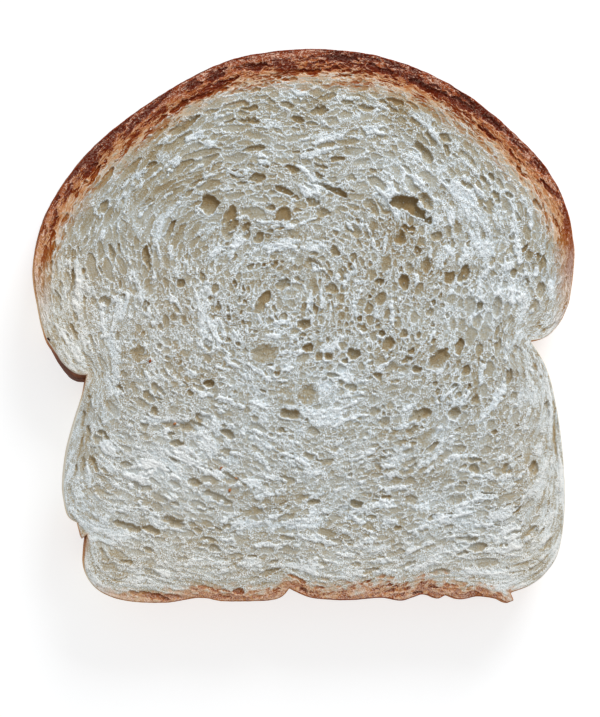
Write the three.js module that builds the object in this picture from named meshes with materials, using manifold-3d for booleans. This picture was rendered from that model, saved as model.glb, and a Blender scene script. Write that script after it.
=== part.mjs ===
// One slice of a white tin loaf, lying on one of its two cut faces. It is a single solid: a crown
// that rose and spread over the rim of the tin, a straighter body that the tin held, and an open
// crumb whose gas cells the knife cut through on both faces. Millimetres, X to the right, Y towards
// the crown, Z up through the thickness of the slice. The origin is under the middle of the slice.
import * as THREE from "three";
import { mergeVertices } from "three/addons/utils/BufferGeometryUtils.js";
import Module from "manifold-3d";

// Driving dimensions
const TIN_WIDTH = 110;
const SLICE_HEIGHT = 122.5;
const CROWN_WIDTH = 119.5;
const THICKNESS = 14;
const OBLIQUE = 1.3; // how far the lower face lies to the left of the upper one
const OVERHANG_LEAN = 1.9; // how far the left overhang hangs lower at the lower face
const OVERHANG_REACH = 8; // how far round the outline that lean fades out
const CRUST_BULGE = 0.4; // how far the crust stands out between the two cut edges
const REST_SPOT = 6; // radius of the part of the lower face that has no cells

const halfTin = TIN_WIDTH / 2;
const halfCrown = CROWN_WIDTH / 2;
const top = SLICE_HEIGHT / 2;
const foot = -SLICE_HEIGHT / 2;

const point = (x, y) => new THREE.Vector2(x, y);

// The crown, clockwise from the pinch over the tin's left rim to the one over its right rim
const pinchLeft = point(-48, -10.7);
const pinchRight = point(50.1, -3.1);
const crown = [
  pinchLeft,
  point(-50.4, -10.4),
  point(-52.6, -8.8),
  point(-55.4, -5),
  point(-57.2, -1.8),
  point(-58.8, 4.8),
  point(-halfCrown, 13.5),
  point(-57.6, 23.2),
  point(-53.2, 31.4),
  point(-47, 39.1),
  point(-38.7, 46.2),
  point(-27.6, 53.5),
  point(-16.3, 58.8),
  point(-4, top - 0.2),
  point(7, top - 0.1),
  point(17, 59.6),
  point(27.6, 55.9),
  point(36.9, 50.6),
  point(46.2, 42.9),
  point(53.5, 35.1),
  point(57.9, 26.5),
  point(halfCrown, 16.8),
  point(58.9, 7),
  point(57.4, 2.4),
  point(55.2, -0.9),
  point(52.8, -2.6),
  pinchRight,
];

// The right wall and the rounded corner under it, with the crust's frayed end
const rightWall = [
  pinchRight,
  point(53.4, -8.6),
  point(halfTin + 0.5, -15.9),
  point(halfTin + 2, -25.6),
  point(halfTin + 2.7, -36.7),
  point(halfTin + 2.2, -45.1),
  point(halfTin + 0.9, -50.8),
  point(53.3, -54.6),
  point(50, -57.2),
  point(45.7, -58.9),
];
const frayedEnd = [point(45.7, -58.9), point(46.4, -60.6), point(44.8, -61.2), point(43.3, -60.3)];

// The bottom crust: uneven where it lay on the tin, with a notch under the middle
const notch = point(-3.2, -57.8);
const bottomRight = [
  point(43.3, -60.3),
  point(38.7, foot + 1.6),
  point(34.5, foot + 0.9),
  point(31.4, foot + 1.8),
  point(29.6, foot + 1.1),
  point(26.3, foot + 2),
  point(21.6, foot + 0.7),
  point(17, foot + 1.3),
  point(10.4, foot + 0.8),
  point(2.7, foot + 1.1),
  point(-0.7, foot + 2.2),
  notch,
];
const bottomLeft = [
  notch,
  point(-5.3, foot + 1.3),
  point(-9.1, foot + 0.6),
  point(-17.9, foot + 0.5),
  point(-23, foot + 1.3),
  point(-30.5, foot + 0.2),
  point(-39.1, foot + 0.6),
  point(-44.4, foot + 2.3),
  point(-47.3, -56.3),
  point(-48.6, -52.8),
  point(-48.4, -48.9),
];

// The left wall, with the small tear where its crust has come away at the foot
const tear = [point(-48.4, -48.9), point(-48, -46), point(-49.1, -46.9), point(-50, -43.4)];
const leftWall = [
  point(-50, -43.4),
  point(-52, -42),
  point(-52.9, -38.5),
  point(-53.2, -34.7),
  point(-52.4, -27.8),
  point(-50.6, -20.8),
  point(-49, -15.5),
  pinchLeft,
];

// Big cells of the upper face: middle, length, width, turn in degrees, depth
const bigCells = [
  { x: 22.6, y: 26.6, length: 9, width: 4, turn: -8, depth: 4.6 },
  { x: 27.4, y: 23.4, length: 3.6, width: 2.4, turn: -60, depth: 3 },
  { x: -21.4, y: 27, length: 4.8, width: 4.6, turn: 0, depth: 3.6 },
  { x: -16.8, y: 22.6, length: 8.2, width: 4, turn: 82, depth: 3.2 },
  { x: -15.4, y: 33.4, length: 4.2, width: 2.9, turn: -20, depth: 2.6 },
  { x: -10.9, y: 32.5, length: 4, width: 2.9, turn: 15, depth: 2.6 },
  { x: -5, y: 23.8, length: 6, width: 4.4, turn: 60, depth: 2.8 },
  { x: -13, y: 21, length: 3.2, width: 2.6, turn: 80, depth: 2.4 },
  { x: 6.1, y: 30.6, length: 7.6, width: 2.2, turn: -22, depth: 3 },
  { x: 1.5, y: 27.6, length: 4.2, width: 3.4, turn: 20, depth: 2.6 },
  { x: -51.6, y: 9, length: 8, width: 1.9, turn: 84, depth: 2.6 },
  { x: -44.6, y: 26.2, length: 4.6, width: 2.4, turn: 55, depth: 2.2 },
  { x: 19.6, y: 49.6, length: 4.8, width: 1.8, turn: -12, depth: 2.2 },
  { x: 51, y: 27, length: 3.4, width: 2.2, turn: -62, depth: 2.2 },
  { x: 52.2, y: 14.2, length: 4.6, width: 2.3, turn: 80, depth: 2.4 },
  { x: 34.9, y: 11.2, length: 5, width: 2.8, turn: 62, depth: 2.8 },
  { x: 28.9, y: 20, length: 3, width: 2.4, turn: 0, depth: 2 },
  { x: -9.5, y: 5.2, length: 7.4, width: 3, turn: 50, depth: 2.6 },
  { x: -27.6, y: 9.6, length: 2.8, width: 2.3, turn: 0, depth: 2.6 },
  { x: 10.4, y: -6.2, length: 3.8, width: 3.2, turn: 0, depth: 3 },
  { x: 29.8, y: -7.2, length: 7, width: 4, turn: -38, depth: 3.2 },
  { x: 34, y: -4.4, length: 4.4, width: 2.8, turn: 60, depth: 2.8 },
  { x: 24.4, y: -9.6, length: 3.2, width: 2.4, turn: 0, depth: 2.2 },
  { x: 38.3, y: 3.7, length: 4, width: 1.9, turn: 70, depth: 2.2 },
  { x: -9, y: -6, length: 6.8, width: 5, turn: 10, depth: 2.2 },
  { x: 0.8, y: -15.6, length: 6, width: 4.8, turn: 62, depth: 3.4 },
  { x: 25.2, y: -19.8, length: 6.2, width: 2.8, turn: 22, depth: 3 },
  { x: -21.2, y: -12.7, length: 2.6, width: 2.4, turn: 0, depth: 2.6 },
  { x: -26.8, y: -22.2, length: 10.5, width: 3.2, turn: -4, depth: 2.8 },
  { x: -36.4, y: -6.2, length: 4.6, width: 4.2, turn: 0, depth: 2 },
  { x: -39.2, y: -44.2, length: 7.6, width: 2.2, turn: -14, depth: 2.8 },
  { x: -3.6, y: -29, length: 4.2, width: 2.3, turn: 0, depth: 2.4 },
  { x: -24.4, y: -34.5, length: 4.2, width: 2.5, turn: 5, depth: 2.4 },
  { x: 11.2, y: -39.5, length: 3.8, width: 2.3, turn: 0, depth: 3 },
  { x: 1.7, y: -38.6, length: 3.8, width: 1.9, turn: 0, depth: 2.4 },
  { x: 50.3, y: -31.8, length: 4.4, width: 2.4, turn: 85, depth: 2.4 },
  { x: 44.5, y: -31.8, length: 3.4, width: 2.6, turn: 75, depth: 2.2 },
  { x: 49.9, y: -45.3, length: 3.4, width: 3, turn: 0, depth: 2.4 },
];

// The cells between them, drawn at random on both faces
const SEED = 41;
const UPPER_CELLS = 105;
const LOWER_CELLS = 90;
const CELL_WIDTH = [1.9, 3.4];
const CELL_STRETCH = [1.2, 2.4];
const CELL_DEPTH = 0.8; // of a cell's width
const CELL_SWAY = 18; // degrees that a cell may lie off its ring
const CELL_GAP = 1.2; // least crumb left between two cells
const CRUST_MARGIN = 3.4; // crumb and crust left between a cell and the outline
const TRIES_PER_CELL = 60;
const LAYER_POWER = 2.6; // how square the rings are that the cells lie along

// Fineness
const STEPS_PER_SPAN = 3;
const BIG_CELL_DETAIL = 1;
const SMALL_CELL_DETAIL = 0;
const MERGE_WITHIN = 1e-4;
const wallHeights = [0, 0.2, 0.5, 0.8, 1].map((share) => share * THICKNESS);

const mulberry = (seed) => () => {
  seed = (seed + 0x6d2b79f5) | 0;
  let t = Math.imul(seed ^ (seed >>> 15), 1 | seed);
  t = (t + Math.imul(t ^ (t >>> 7), 61 | t)) ^ t;
  return ((t ^ (t >>> 14)) >>> 0) / 4294967296;
};
const random = mulberry(SEED);
const between = ([low, high]) => low + (high - low) * random();

// One smooth stretch through its points, without the last point, which the next stretch starts on
const smooth = (points) => {
  const steps = (points.length - 1) * STEPS_PER_SPAN;
  return new THREE.SplineCurve(points).getPoints(steps).slice(0, -1);
};
const straight = (points) => points.slice(0, -1);

const outline = [
  ...smooth(crown),
  ...smooth(rightWall),
  ...straight(frayedEnd),
  ...smooth(bottomRight),
  ...smooth(bottomLeft),
  ...straight(tear),
  ...smooth(leftWall),
];

// The outline at one height: the lower face lies to the left, and the left overhang hangs lower there
const overhangMiddle = point(-51, -10);
const outlineAt = (height) => {
  const rise = height / THICKNESS;
  const bulge = CRUST_BULGE * Math.sin(Math.PI * rise);
  return outline.map((here, i) => {
    const before = outline.at(i - 1);
    const after = outline[(i + 1) % outline.length];
    const along = after.clone().sub(before).normalize();
    const outward = point(-along.y, along.x);
    const nearness = Math.exp(-((here.distanceTo(overhangMiddle) / OVERHANG_REACH) ** 2));
    const left = OBLIQUE * (0.5 - rise);
    const down = OVERHANG_LEAN * (1 - rise) * nearness;
    return here.clone().addScaledVector(outward, bulge).sub(point(left, down));
  });
};

// The uncut slice: rings of the outline joined into a wall, with a flat face at each end
const sliceBlank = () => {
  const rings = wallHeights.map(outlineAt);
  const count = outline.length;
  const positions = rings.flatMap((ring, level) => ring.flatMap((p) => [p.x, p.y, wallHeights[level]]));
  const indices = [];
  for (let level = 0; level < rings.length - 1; level += 1) {
    for (let i = 0; i < count; i += 1) {
      const a = level * count + i;
      const b = level * count + ((i + 1) % count);
      indices.push(a, a + count, b, b, a + count, b + count);
    }
  }
  const upperStart = (rings.length - 1) * count;
  for (const [a, b, c] of THREE.ShapeUtils.triangulateShape(rings.at(-1), [])) {
    indices.push(upperStart + a, upperStart + b, upperStart + c);
  }
  for (const [a, b, c] of THREE.ShapeUtils.triangulateShape(rings[0], [])) {
    indices.push(a, c, b);
  }
  const geometry = new THREE.BufferGeometry();
  geometry.setAttribute("position", new THREE.Float32BufferAttribute(positions, 3));
  geometry.setIndex(indices);
  return geometry;
};

// Cells were pressed flat against the tin and the crust, so they lie along rounded square rings
const layerTurn = (x, y) => {
  const across = Math.sign(x) * Math.abs(x / halfCrown) ** (LAYER_POWER - 1);
  const up = Math.sign(y) * Math.abs(y / top) ** (LAYER_POWER - 1);
  return THREE.MathUtils.radToDeg(Math.atan2(up, across)) + 90;
};

// How far a point is inside an outline; negative outside it
const depthInside = (spot, ring) => {
  let inside = false;
  let nearest = Infinity;
  ring.forEach((b, i) => {
    const a = ring.at(i - 1);
    const side = b.clone().sub(a);
    const share = THREE.MathUtils.clamp(spot.clone().sub(a).dot(side) / side.lengthSq(), 0, 1);
    nearest = Math.min(nearest, spot.distanceTo(a.clone().addScaledVector(side, share)));
    const crosses = a.y > spot.y !== b.y > spot.y;
    if (crosses && spot.x < a.x + ((spot.y - a.y) * side.x) / side.y) {
      inside = !inside;
    }
  });
  return inside ? nearest : -nearest;
};

// Seeded cells for one face, clear of each other, of the crust and of what is kept plain
const scatterCells = (wanted, ring, kept) => {
  const cells = [];
  for (let tries = 0; tries < wanted * TRIES_PER_CELL && cells.length < wanted; tries += 1) {
    const spot = point(between([-halfCrown, halfCrown]), between([foot, top]));
    const width = between(CELL_WIDTH);
    const length = width * between(CELL_STRETCH);
    const clear = [...kept, ...cells].every((other) => {
      const room = (other.length + other.width + length + width) / 4 + CELL_GAP;
      return Math.hypot(other.x - spot.x, other.y - spot.y) > room;
    });
    if (clear && depthInside(spot, ring) > CRUST_MARGIN + width / 2) {
      const turn = layerTurn(spot.x, spot.y) + between([-CELL_SWAY, CELL_SWAY]);
      cells.push({ x: spot.x, y: spot.y, length, width, turn, depth: width * CELL_DEPTH });
    }
  }
  return cells;
};

// A cell as a faceted ellipsoid, half of it above the face that the knife left
const cellGeometry = (cell, detail, faceHeight) => {
  const geometry = new THREE.IcosahedronGeometry(1, detail);
  geometry.rotateX(random() * Math.PI);
  geometry.scale(cell.length / 2, cell.width / 2, cell.depth);
  geometry.rotateZ(THREE.MathUtils.degToRad(cell.turn));
  geometry.translate(cell.x, cell.y, faceHeight);
  return geometry;
};

const wasm = await Module();
wasm.setup();

const toSolid = (geometry) => {
  geometry.deleteAttribute("normal");
  geometry.deleteAttribute("uv");
  const merged = mergeVertices(geometry, MERGE_WITHIN);
  const vertProperties = new Float32Array(merged.attributes.position.array);
  const triVerts = new Uint32Array(merged.index.array);
  return new wasm.Manifold(new wasm.Mesh({ numProp: 3, vertProperties, triVerts }));
};

const toGeometry = (solid) => {
  const mesh = solid.getMesh();
  const geometry = new THREE.BufferGeometry();
  geometry.setAttribute("position", new THREE.BufferAttribute(mesh.vertProperties, 3));
  geometry.setIndex(new THREE.BufferAttribute(mesh.triVerts, 1));
  return geometry;
};

const breadSlice = () => {
  const upperRing = outlineAt(THICKNESS);
  const lowerRing = outlineAt(0);
  const shifted = bigCells.map((cell) => ({ ...cell, x: cell.x + OBLIQUE / 2 }));
  const restSpot = { x: 0, y: 0, length: 2 * REST_SPOT, width: 2 * REST_SPOT };
  const upperCells = scatterCells(UPPER_CELLS, upperRing, shifted);
  const lowerCells = scatterCells(LOWER_CELLS, lowerRing, [restSpot]);
  let slice = toSolid(sliceBlank());
  for (const cell of shifted) {
    slice = slice.subtract(toSolid(cellGeometry(cell, BIG_CELL_DETAIL, THICKNESS)));
  }
  for (const cell of upperCells) {
    slice = slice.subtract(toSolid(cellGeometry(cell, SMALL_CELL_DETAIL, THICKNESS)));
  }
  for (const cell of lowerCells) {
    slice = slice.subtract(toSolid(cellGeometry(cell, SMALL_CELL_DETAIL, 0)));
  }
  const geometry = toGeometry(slice);
  geometry.computeBoundingBox();
  const middle = geometry.boundingBox.getCenter(new THREE.Vector3());
  geometry.translate(-middle.x, -middle.y, 0);
  return geometry;
};

const crumb = new THREE.MeshStandardMaterial({ color: 0xe6e2d2, roughness: 0.9, metalness: 0 });
const slice = new THREE.Mesh(breadSlice(), crumb);
slice.name = "bread_slice";

const loaf = new THREE.Group();
loaf.add(slice);

export default loaf;
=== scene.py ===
"""One slice of a white tin loaf, lying on its lower cut face. Lengths in the numpy work are in
millimetres, and every mesh is made in metres, in the frame's own place."""

import copy
import math

import bmesh
import bpy
import numpy as np
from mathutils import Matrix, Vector


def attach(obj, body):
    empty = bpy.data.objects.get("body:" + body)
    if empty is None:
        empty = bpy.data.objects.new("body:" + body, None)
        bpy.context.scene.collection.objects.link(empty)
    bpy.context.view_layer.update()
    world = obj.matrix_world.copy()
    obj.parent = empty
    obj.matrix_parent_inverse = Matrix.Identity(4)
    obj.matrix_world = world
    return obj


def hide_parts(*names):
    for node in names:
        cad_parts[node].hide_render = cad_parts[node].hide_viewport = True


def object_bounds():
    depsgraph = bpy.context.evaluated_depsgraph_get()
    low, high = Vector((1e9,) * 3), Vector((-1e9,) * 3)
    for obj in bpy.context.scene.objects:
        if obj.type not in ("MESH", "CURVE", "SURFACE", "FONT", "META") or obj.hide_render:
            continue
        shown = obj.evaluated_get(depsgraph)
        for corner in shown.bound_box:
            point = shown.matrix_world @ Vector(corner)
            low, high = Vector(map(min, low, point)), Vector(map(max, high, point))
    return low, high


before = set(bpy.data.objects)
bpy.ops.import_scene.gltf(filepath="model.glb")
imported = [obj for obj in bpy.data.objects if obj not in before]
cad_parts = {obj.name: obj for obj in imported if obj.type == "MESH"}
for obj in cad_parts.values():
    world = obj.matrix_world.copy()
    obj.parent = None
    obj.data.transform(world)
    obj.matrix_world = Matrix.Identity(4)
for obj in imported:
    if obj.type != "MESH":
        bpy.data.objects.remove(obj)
cad_low, cad_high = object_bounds()


# The view: the slice lies flat, and the camera looks straight down on its upper cut face from
# half a metre, with the crown away from the viewer.
MM = 0.001
THICKNESS = cad_high.z / MM
CAMERA_RISE = 500
SENSOR_WIDTH = 36
VIEW_SPAN = 158.4
VIEW_MIDDLE = (-0.25, -7.2)

camera_data = bpy.data.cameras.new("view")
camera_data.sensor_width = SENSOR_WIDTH
camera_data.lens = CAMERA_RISE * SENSOR_WIDTH / VIEW_SPAN
camera_data.clip_start = 0.05
camera_data.clip_end = 20
camera = bpy.data.objects.new("view", camera_data)
camera.location = (VIEW_MIDDLE[0] * MM, VIEW_MIDDLE[1] * MM, (THICKNESS + CAMERA_RISE) * MM)
bpy.context.scene.collection.objects.link(camera)
bpy.context.scene.camera = camera


# The slice's outline, as the tin and the oven left it: a crown that spread over the rim of the
# tin, two straight walls, a bottom crust with a notch, a torn foot and a frayed end. The knife
# went through a little obliquely, so the lower face lies further left.
HALF_TIN = 55
HALF_CROWN = 59.75
TOP = 61.25
FOOT = -61.25
OBLIQUE = 1.3
OVERHANG_LEAN = 1.9
OVERHANG_REACH = 8
OVERHANG_MIDDLE = (-51, -10)
CRUST_BULGE = 0.4
PINCH_LEFT = (-48, -10.7)
PINCH_RIGHT = (50.1, -3.1)
NOTCH = (-3.2, -57.8)
CROWN = [
    PINCH_LEFT, (-50.4, -10.4), (-52.6, -8.8), (-55.4, -5), (-57.2, -1.8), (-58.8, 4.8),
    (-HALF_CROWN, 13.5), (-57.6, 23.2), (-53.2, 31.4), (-47, 39.1), (-38.7, 46.2), (-27.6, 53.5),
    (-16.3, 58.8), (-4, TOP - 0.2), (7, TOP - 0.1), (17, 59.6), (27.6, 55.9), (36.9, 50.6),
    (46.2, 42.9), (53.5, 35.1), (57.9, 26.5), (HALF_CROWN, 16.8), (58.9, 7), (57.4, 2.4),
    (55.2, -0.9), (52.8, -2.6), PINCH_RIGHT,
]
RIGHT_WALL = [
    PINCH_RIGHT, (53.4, -8.6), (HALF_TIN + 0.5, -15.9), (HALF_TIN + 2, -25.6),
    (HALF_TIN + 2.7, -36.7), (HALF_TIN + 2.2, -45.1), (HALF_TIN + 0.9, -50.8), (53.3, -54.6),
    (50, -57.2), (45.7, -58.9),
]
FRAYED_END = [(45.7, -58.9), (46.4, -60.6), (44.8, -61.2), (43.3, -60.3)]
BOTTOM_RIGHT = [
    (43.3, -60.3), (38.7, FOOT + 1.6), (34.5, FOOT + 0.9), (31.4, FOOT + 1.8),
    (29.6, FOOT + 1.1), (26.3, FOOT + 2), (21.6, FOOT + 0.7), (17, FOOT + 1.3),
    (10.4, FOOT + 0.8), (2.7, FOOT + 1.1), (-0.7, FOOT + 2.2), NOTCH,
]
BOTTOM_LEFT = [
    NOTCH, (-5.3, FOOT + 1.3), (-9.1, FOOT + 0.6), (-17.9, FOOT + 0.5), (-23, FOOT + 1.3),
    (-30.5, FOOT + 0.2), (-39.1, FOOT + 0.6), (-44.4, FOOT + 2.3), (-47.3, -56.3),
    (-48.6, -52.8), (-48.4, -48.9),
]
TEAR = [(-48.4, -48.9), (-48, -46), (-49.1, -46.9), (-50, -43.4)]
LEFT_WALL = [
    (-50, -43.4), (-52, -42), (-52.9, -38.5), (-53.2, -34.7), (-52.4, -27.8), (-50.6, -20.8),
    (-49, -15.5), PINCH_LEFT,
]
STATION_STEP = 0.35


def smooth(points, steps=16):
    """A curve through the points, without the last one, which the next stretch starts on."""
    p = np.array([points[0], *points, points[-1]], float)
    t = np.linspace(0, 1, steps, endpoint=False)[:, None]
    spans = []
    for a, b, c, d in zip(p, p[1:], p[2:], p[3:]):
        bend = 2 * a - 5 * b + 4 * c - d
        twist = 3 * b - a - 3 * c + d
        spans.append(0.5 * (2 * b + (c - a) * t + bend * t**2 + twist * t**3))
    return np.vstack(spans)


def evenly(points, step):
    """The closed line through the points, with a station every step or so."""
    closed = np.vstack([points, points[:1]])
    along = np.r_[0, np.cumsum(np.hypot(*np.diff(closed, axis=0).T))]
    at = np.linspace(0, along[-1], round(along[-1] / step), endpoint=False)
    return np.stack([np.interp(at, along, closed[:, 0]), np.interp(at, along, closed[:, 1])], 1)


def outward_of(line):
    """The outward normal at each station of a clockwise closed line."""
    along = np.roll(line, -1, 0) - np.roll(line, 1, 0)
    along /= np.hypot(*along.T)[:, None]
    return np.stack([-along[:, 1], along[:, 0]], 1)


stretches = [smooth(CROWN), smooth(RIGHT_WALL), FRAYED_END[:-1], smooth(BOTTOM_RIGHT)]
stretches += [smooth(BOTTOM_LEFT), TEAR[:-1], smooth(LEFT_WALL)]
outline = evenly(np.vstack(stretches), STATION_STEP)
outward = outward_of(outline)


def knife_shift(places, rise):
    """How the oblique cut moves places at one share of the thickness, most at the overhang."""
    gap = np.hypot(*(places - OVERHANG_MIDDLE).T) / OVERHANG_REACH
    down = OVERHANG_LEAN * (1 - rise) * np.exp(-(gap**2))
    return np.stack([-OBLIQUE * (0.5 - rise) + 0 * down, -down], 1)


def ring_at(height, inset=0.0):
    """The outline at one height, as much smaller all round as the inset says."""
    rise = height / THICKNESS
    bulge = CRUST_BULGE * math.sin(math.pi * min(max(rise, 0), 1))
    return outline + outward * (bulge - inset) + knife_shift(outline, rise)


# the frame's origin is under the middle of the box round the whole slice
rings = np.vstack([ring_at(share * THICKNESS) for share in (0, 0.2, 0.5, 0.8, 1)])
ring_middle = (rings.min(0) + rings.max(0)) / 2


# The browning round the slice: thick and dark over the crown, thinner at the overhangs, next to
# nothing on the walls that the tin shielded, and thin and patchy at the foot.
BROWN_PLACES = [
    # x, y of a place on the outline, how deep the browning goes there, and from 0 to 1 how
    # brown the cut crust and its outer side are
    (-47.3, -11.4, 1, 0.20, 0.95), (-50.5, -9.4, 1, 0.12, 1), (-54, -6, 1, 0.06, 0.95),
    (-57.4, 0, 1.8, 0.12, 0.3), (-59, 5.3, 3, 0.22, 0.35), (-59.6, 12, 3.8, 0.36, 0.5),
    (-59, 18.5, 4.8, 0.58, 0.7), (-56, 26.5, 5.4, 0.74, 0.85), (-51, 34.5, 5.8, 0.82, 0.9),
    (-42, 43.6, 6.4, 0.92, 0.95), (-27.6, 53.5, 6.2, 0.95, 1), (-10, 60.4, 7.2, 1, 1),
    (6, 61.2, 7.3, 1, 1), (17, 59.6, 7.1, 1, 1), (27.6, 55.9, 6.6, 1, 1),
    (36.9, 50.6, 6.4, 0.88, 1), (46.2, 42.9, 6.6, 0.90, 0.9), (53.5, 35.1, 6.6, 0.88, 0.8),
    (57.9, 26.5, 5.6, 0.70, 0.7), (59.7, 16.8, 4.2, 0.38, 0.6), (59.4, 8.5, 3.2, 0.30, 0.45),
    (57, 1, 1.8, 0.18, 0.5), (50.8, -3.1, 0.9, 0.04, 0.4), (56, -18, 0.6, 0, 0.1),
    (57.6, -38, 0.6, 0, 0.1), (55.5, -51.5, 0.7, 0.03, 0.3), (50, -57.2, 1, 0.08, 0.4),
    (46, -59.6, 1.4, 0.5, 0.6), (38.7, -59.6, 3.2, 0.60, 0.6), (20, -60.4, 4.4, 0.80, 0.6),
    (2.7, -60.1, 3.6, 0.64, 0.6), (-3.2, -57.8, 2.6, 0.44, 0.6), (-12, -60.7, 3.4, 0.52, 0.55),
    (-30.5, -61, 2.9, 0.46, 0.5), (-42, -59.6, 2.2, 0.38, 0.4), (-47.6, -55.5, 1.3, 0.04, 0.15),
    (-48.4, -47.5, 0.8, 0.3, 0.8), (-50.5, -42.8, 0.6, 0.1, 0.3), (-53, -36, 0.6, 0, 0),
    (-50.6, -20.8, 0.6, 0.02, 0), (-49, -14.5, 0.7, 0.1, 0.15),
]
SIDE_BLEND = 3.0


def along_outline(column):
    """One of the browning's measures at every station, from the places where it is known."""
    at = [np.argmin(np.hypot(*(outline - place[:2]).T)) for place in BROWN_PLACES]
    order = np.argsort(at)
    known = np.array([place[column] for place in BROWN_PLACES], float)[order]
    return np.interp(np.arange(len(outline)), np.array(at)[order], known, period=len(outline))


brown_depth = along_outline(2)
cut_brown = along_outline(3)
blend_steps = int(SIDE_BLEND / STATION_STEP)
blend = range(-blend_steps, blend_steps + 1)
side_brown = np.mean([np.roll(along_outline(4), shift) for shift in blend], 0)


# The crumb: a foam of gas cells that the knife has opened, with thin torn walls. Cells lie along
# rounded rings and flat against the crust, smaller ones fill the room between larger ones, and a
# few big ones are where the dough's fold trapped air.
RING_POWER = 2.6
RING_MIDDLE = (-1.5, 6)
COMMON_BOWL = (0.8, 2)
BIG_CELLS = [
    # middle x, y, length, width, turn in degrees, and the depth and the steepness of its sides
    # where they aren't the common ones
    (21.6, 27.2, 6.6, 3.6, 4, 2.8, 5), (24.6, 25.2, 5, 2.8, -32, 2.2, 4),
    (27.3, 23.2, 2.6, 1.9, -60, 1.6, 3), (2.6, 31.6, 5, 1.3, -16, 1, 3),
    (4.6, 30.8, 3.4, 1.5, -20, 1.3, 3), (7, 29.9, 5.6, 1.9, -22, 1.6, 4),
    (-21.4, 27, 4.8, 4.5, 0, 1.5, 5), (-16.8, 22.6, 8.4, 3.9, 80, 0.9, 1.3),
    (-15.4, 33.4, 4.2, 2.9, -20, 0.9, 1.6), (-10.9, 32.5, 4.2, 2.9, 15, 1, 2),
    (-5, 23.8, 6, 4.2, 60, 0.8, 2.5), (-13, 21, 4.4, 2.4, 80), (-10.2, 19.4, 3.8, 2.4, 72),
    (-7.6, 26.2, 2.4, 2, 0), (1.5, 27.6, 3.6, 3.2, 20, 1, 4), (-51.6, 9, 8, 1.8, 84, 1, 4),
    (-44.6, 26.2, 3.9, 2, 55, 0.8, 4), (-33.9, 35.8, 3, 1.9, 20), (-11.6, 39.1, 5.8, 1.7, 8),
    (19.6, 49.6, 4.6, 1.7, -14), (30.8, 41.8, 3.2, 2, -35), (41.2, 33.2, 2.8, 1.9, -45, 0.8, 3),
    (44.9, 28.9, 2.5, 2.1, -50, 1, 4), (51, 27, 3.2, 2.1, -62), (52.2, 14.2, 4.4, 2.1, 78),
    (47.8, 16.2, 4.2, 2, 75), (34.9, 11.2, 4.6, 2.6, 62, 1, 3), (28.9, 20, 2.9, 2.5, 0),
    (22.4, 21.4, 3.6, 1.8, -10), (30.9, 31.9, 2, 1.8, 0, 0.8, 3),
    (-9.5, 5.2, 7.2, 2.8, 55, 0.8, 1.3), (6.4, 16.4, 2.8, 2.6, 0), (5.7, 8.2, 3.3, 3, 0),
    (16.2, 10, 2.4, 1.9, 10, 1, 3), (-27.6, 9.6, 2.5, 2.2, 0, 1.1, 4), (-44.2, 5.6, 3.2, 2.9, 0),
    (-40.4, 6.3, 2.4, 2, 0), (51.9, 7.8, 4.6, 2.3, 72), (38.2, 3.8, 4.2, 1.6, 62, 1.1, 4),
    (10.4, -6.2, 3.6, 3.1, 0, 1.3, 4), (16.8, -1.6, 2.5, 2, 0, 1.1, 4),
    (29.4, -7.4, 6.8, 3.4, 42, 1, 1.6), (34, -4.4, 4.2, 2.6, 70, 1, 2.5),
    (24.4, -9.6, 2.8, 2.3, 0, 1.1, 3), (32.9, -13.4, 3.2, 1.7, 62), (6, -11, 3.2, 1.7, 0),
    (15.9, -11, 2.7, 1.9, 0), (-9, -6, 6.6, 4.8, 10, 0.6, 1.2),
    (0.8, -15.6, 6.2, 4.6, 65, 0.8, 1.3), (25.2, -19.8, 6, 2.8, 24, 0.9, 1.6),
    (-21.2, -12.7, 2.5, 2.2, 0, 1.4, 4), (-26.8, -22.2, 11.5, 3, -6, 0.8, 1.3),
    (-36.6, -6.2, 4.4, 4, 0, 0.6, 1.2), (-35.6, -21.9, 2.8, 2, 80),
    (-49.4, -7.3, 1.6, 1.2, 0, 1, 4), (-39.2, -44.2, 7.6, 2, -16), (-3.6, -29, 4.2, 2.2, 0),
    (-24.4, -34.5, 4.2, 2.4, 5), (11.2, -39.5, 3.4, 2.1, 0, 1.3, 4), (1.7, -38.6, 3.6, 1.7, 0),
    (2.6, -41.5, 4.4, 1.7, 0), (15.5, -30.5, 4.2, 3.2, 0, 0.6, 1.2), (50.3, -31.8, 4.2, 2.2, 85),
    (44.5, -31.8, 3.2, 2.5, 75), (37.4, -31.8, 2.7, 2.3, 0), (49.9, -45.3, 3.3, 3, 0),
    (33.2, -38.7, 5.6, 3.2, 0, 0.5, 1.2),
    # long flat cells in the crust
    (8, 58.9, 8.5, 1.5, -3, 0.6, 3), (-0.5, 56.4, 9, 1.6, 2, 0.6, 3),
    (16.5, 56.4, 7.2, 1.5, -14, 0.6, 3), (27, 52.6, 9, 2, -26, 0.9, 4),
    (35, 49, 7, 1.9, -33, 0.8, 4), (41.2, 45.2, 6, 1.6, -40, 0.8, 3),
    (-12.5, 57.4, 8.5, 1.7, 8, 0.9, 4), (-28, 48.6, 5.4, 1.7, 32, 0.5, 2),
    (-20.5, 54.6, 6, 1.5, 24, 0.5, 3), (46.5, 38.3, 4.4, 1.4, -44, 0.6, 3),
    (53.4, 30.4, 5, 1.5, -58, 0.6, 3), (55.4, 22.5, 5.6, 1.3, -72, 0.4, 2),
    (-47.6, 33.8, 6, 1.5, 50, 0.5, 2), (-54, 22, 6.5, 1.4, 68, 0.4, 2),
    (-14.6, -58.6, 2.6, 1.5, 0, 0.8, 3), (-0.4, -58.4, 2.2, 1.3, 0, 0.8, 3),
    (24.5, -58.9, 2.8, 1.1, 0, 0.6, 3),
]
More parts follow.
